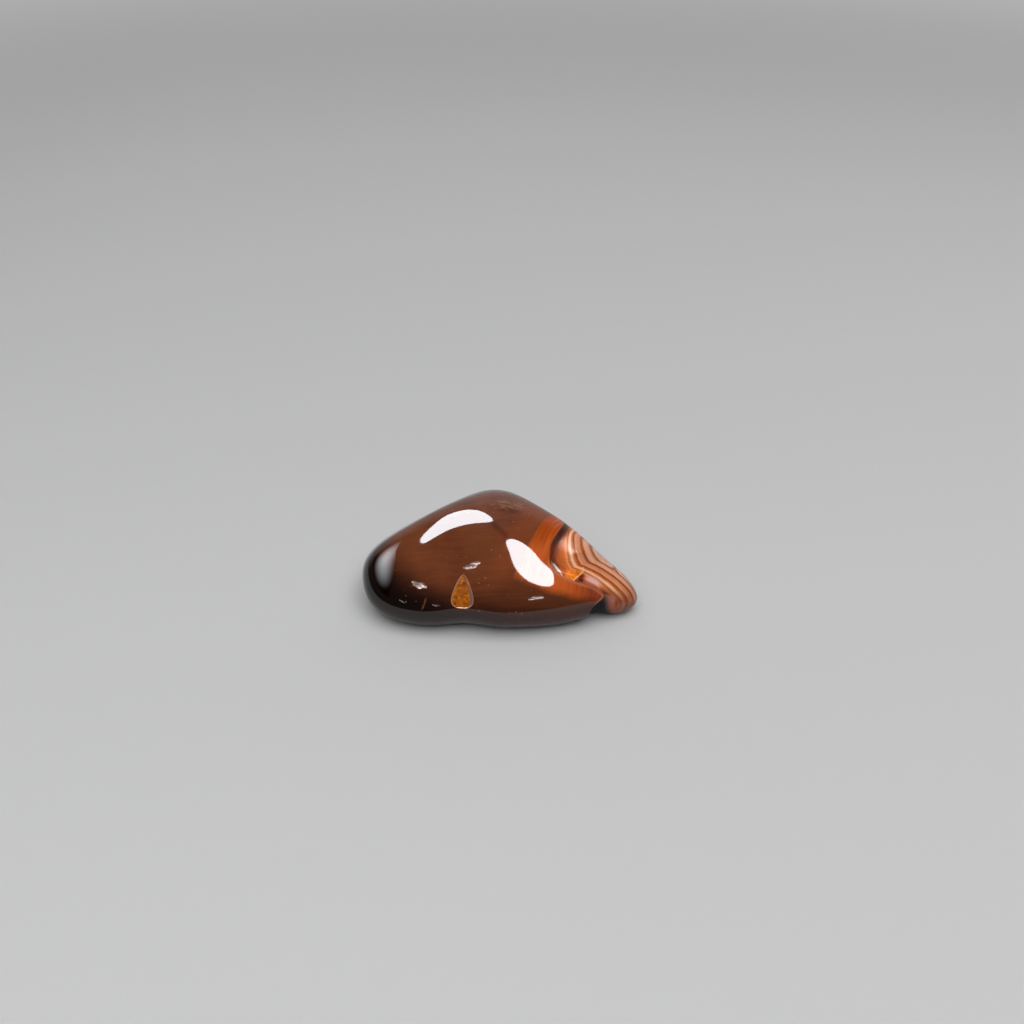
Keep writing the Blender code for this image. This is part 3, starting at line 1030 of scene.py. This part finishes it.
flecks = scatter_flecks()
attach(flecks, "root")
print("flecks:", len(flecks.data.polygons) // FLECK_CORNERS, "with", len(flecks.data.polygons), "triangles")

# %% [markdown]
# ## The floor
# The polish mirrors the room, so the studio is part of the look. The floor is pale, and it ends in front of
# the stone for reflections only, which draws the crisp line low on the stone's front. Far from the stone it
# turns into plain light, so that it has no edge.

# %% Floor
FLOOR = {"near": 0.6, "far": 0.56, "start": 0.7, "end": 1.9}
FLOOR_REACH = 3.0
FLOOR_FRONT = -0.2
BLACK = (0.0, 0.0, 0.0, 1.0)


def floor_paint(near, far, start, end):
    """A matt floor that turns into plain light far from the stone."""
    paint = Paint("pale_floor")
    split = paint.node("ShaderNodeSeparateXYZ", {}, {0: paint.node("ShaderNodeTexCoord").outputs["Object"]})
    x, y = (Number(paint, split.outputs[axis]) for axis in "XY")
    away = ((x ** 2 + y ** 2) ** 0.5).step(start, end)
    return paint.finish({"Base Color": paint.mix(away, (near, near, near, 1.0), BLACK),
                         "Emission Color": paint.mix(away, BLACK, (far, far, far, 1.0)),
                         "Emission Strength": 1.0, "Roughness": 0.8, "Specular IOR Level": 0.2})


def in_studio(name, data):
    """Put a mesh into the scene, not attached to the stone."""
    piece = add_object(name, data)
    return piece


def sheet(name, front, back, material):
    """A level rectangle on the ground, as wide as the floor."""
    data = bpy.data.meshes.new(name)
    side = FLOOR_REACH
    corners = [(-side, front, 0), (side, front, 0), (side, back, 0), (-side, back, 0)]
    data.from_pydata(corners, [], [(0, 1, 2, 3)])
    data.materials.append(material)
    return in_studio(name, data)


floor_finish = floor_paint(**FLOOR)
sheet("floor", FLOOR_FRONT, FLOOR_REACH, floor_finish)
apron = sheet("apron", -FLOOR_REACH, FLOOR_FRONT, floor_finish)
apron.visible_glossy = False
print("floor: ends for reflections", -FLOOR_FRONT, "m in front of the middle")

# %% [markdown]
# ## Lamps
# One long light hangs over the left, and one slants away to the right front. The body mirrors both as bright
# shapes with clean edges, so each lamp is a level plate with a smooth outline through a few points.

# %% Lamps
LAMP_TINT = (0.9, 0.95, 1.0, 1.0)
LAMP_HEIGHT = 700
LAMP_STRENGTHS = (19.0, 20.0)
LAMP_CURVE_SAMPLES = 8
STRIP = (
    (-380, -260), (-380, -30), (-350, 230), (-220, 250), (-60, 90), (10, -110), (-40, -230), (-250, -340),
    (-340, -380),
)
LEAF = (
    (5, -480), (30, -400), (90, -420), (220, -600), (400, -760), (500, -980), (470, -1050), (360, -1000),
    (190, -850), (60, -660),
)


def glow(name, strength):
    """A finish that only gives light."""
    material = bpy.data.materials.new(name)
    material.use_nodes = True
    tree = material.node_tree
    tree.nodes.clear()
    emission = add_node(tree, "ShaderNodeEmission", {}, {"Color": LAMP_TINT, "Strength": strength})
    add_node(tree, "ShaderNodeOutputMaterial", {}, {0: emission.outputs[0]})
    return material


def only_reflected(name, data):
    """Put a mesh into the studio that neither the camera sees nor matt things are lit by."""
    piece = in_studio(name, data)
    piece.visible_camera = False
    piece.visible_diffuse = False


def lamp(name, outline, strength):
    """A level light with a smooth outline through a few points, in millimetres."""
    closed = np.array([*outline, *outline[:3]], dtype=float)
    spans = len(outline)
    samples = np.linspace(1, spans + 1, spans * LAMP_CURVE_SAMPLES, endpoint=False)
    curve = smooth_route(closed, samples)
    data = bpy.data.meshes.new(name)
    corners = [(x * MM, y * MM, LAMP_HEIGHT * MM) for x, y in curve]
    data.from_pydata(corners, [], [tuple(range(len(corners)))])
    data.materials.append(glow(name, strength))
    only_reflected(name, data)


lamp("overhead_light", STRIP, LAMP_STRENGTHS[0])
lamp("front_light", LEAF, LAMP_STRENGTHS[1])
print("lamps: outlines of", len(STRIP), "and", len(LEAF), "points,", LAMP_HEIGHT, "mm up")

# %% [markdown]
# ## A soft card
# A card stands upright at the left and gives the left end its soft glow. Each of its corners stores how
# bright it is there, from full in the middle to nothing at the edges.

# %% Soft card
CARD = {"x": -600, "middle": (-190, 520), "spread": (420, 330), "top": 720, "strength": 9.0}
CARD_POINTS = 25


def soft_card(x, middle, spread, top, strength):
    """An upright card at the left that glows in its middle and fades to its edges, all in millimetres."""
    rows = np.linspace(middle[1] - spread[1], top, CARD_POINTS)
    columns = np.linspace(middle[0] - spread[0], middle[0] + spread[0], CARD_POINTS)
    corners = [(x * MM, y * MM, z * MM) for z in rows for y in columns]
    steps = range(CARD_POINTS - 1)
    firsts = [row * CARD_POINTS + column for row in steps for column in steps]
    faces = [(i, i + 1, i + CARD_POINTS + 1, i + CARD_POINTS) for i in firsts]
    data = bpy.data.meshes.new("soft_card")
    data.from_pydata(corners, [], faces)
    away = [math.hypot((y - middle[0]) / spread[0], (z - middle[1]) / spread[1])
            for z in rows for y in columns]
    shares = [float(smooth(1 - share)) for share in away]
    data.attributes.new("glow", "FLOAT", "POINT").data.foreach_set("value", shares)
    material = glow("card_glow", strength)
    tree = material.node_tree
    share = add_node(tree, "ShaderNodeAttribute", {"attribute_name": "glow"})
    faded = math_node(tree, "MULTIPLY", share.outputs["Fac"], strength)
    fill(tree, tree.nodes["Emission"], {"Strength": faded})
    data.materials.append(material)
    only_reflected("soft_card", data)


soft_card(**CARD)
print("card:", CARD_POINTS, "by", CARD_POINTS, "points")

# %% [markdown]
# ## The wide light and the room
# A wide light above the front lights the floor and the dull places, and the polish doesn't show it. The room
# is pale behind the stone and dark in front of it, which gives the front its depth.

# %% Wide light and room
WIDE_LIGHT = {"size": 1.8, "height": 1.35, "front": -0.45, "power": 27.0}
ROOM = {"dark": 0.07, "pale": 0.5}
ROOM_FADE = (0.15, 0.6)
ROOM_TINT = (0.98, 0.98, 1.0, 1.0)


def wide_light(size, height, front, power):
    """A broad light above the front that faces the stone and isn't reflected."""
    data = bpy.data.lights.new("wide_light", "AREA")
    data.size = size
    data.energy = power
    light = add_object("wide_light", data)
    light.location = (0, front, height)
    light.rotation_euler = (-math.atan2(front, height), 0, 0)
    light.visible_glossy = False
    light.visible_camera = False


def studio_world(dark, pale):
    """A room that is pale behind the stone, dark in front of it, and pale all round for the camera."""
    world = bpy.data.worlds.new("studio")
    world.use_nodes = True
    tree = world.node_tree
    node = partial(add_node, tree)
    place = node("ShaderNodeTexCoord").outputs["Generated"]
    split = node("ShaderNodeSeparateXYZ", {}, {0: place})
    start, end = ROOM_FADE
    behind = node("ShaderNodeMapRange", {}, {0: split.outputs["Y"], 1: start, 2: end, 3: dark, 4: pale})
    seen = math_node(tree, "MULTIPLY", node("ShaderNodeLightPath").outputs["Is Camera Ray"], pale)
    brighter = math_node(tree, "MAXIMUM", behind.outputs[0], seen)
    fill(tree, tree.nodes["Background"], {"Strength": brighter, "Color": ROOM_TINT})
    return world


wide_light(**WIDE_LIGHT)
bpy.context.scene.world = studio_world(**ROOM)
bpy.context.scene.view_settings.view_transform = "Standard"
print("room: from", ROOM["dark"], "in front to", ROOM["pale"], "behind")

# %% [markdown]
# ## The camera
# The camera looks down at the stone as the picture does. Its lens is given as the focal length in pixels.

# %% Camera
EYE = (0.0044, -0.3238, 0.2609)
DOWN_TILT = 35.135
LEAN = 0.45
FOCAL_PIXELS = 1100
IMAGE_PIXELS = 1024
SENSOR = 36.0
camera_data = bpy.data.cameras.new("camera")
camera_data.sensor_width = SENSOR
camera_data.lens = SENSOR * FOCAL_PIXELS / IMAGE_PIXELS
camera_data.clip_start = 0.01
camera = add_object("camera", camera_data)
tilt = Matrix.Rotation(math.radians(90 - DOWN_TILT), 4, "X")
camera.matrix_world = Matrix.Translation(EYE) @ tilt @ Matrix.Rotation(math.radians(LEAN), 4, "Z")
bpy.context.scene.camera = camera
print("camera:", round(camera_data.lens, 1), "mm lens, looking", DOWN_TILT, "degrees down")

# %% [markdown]
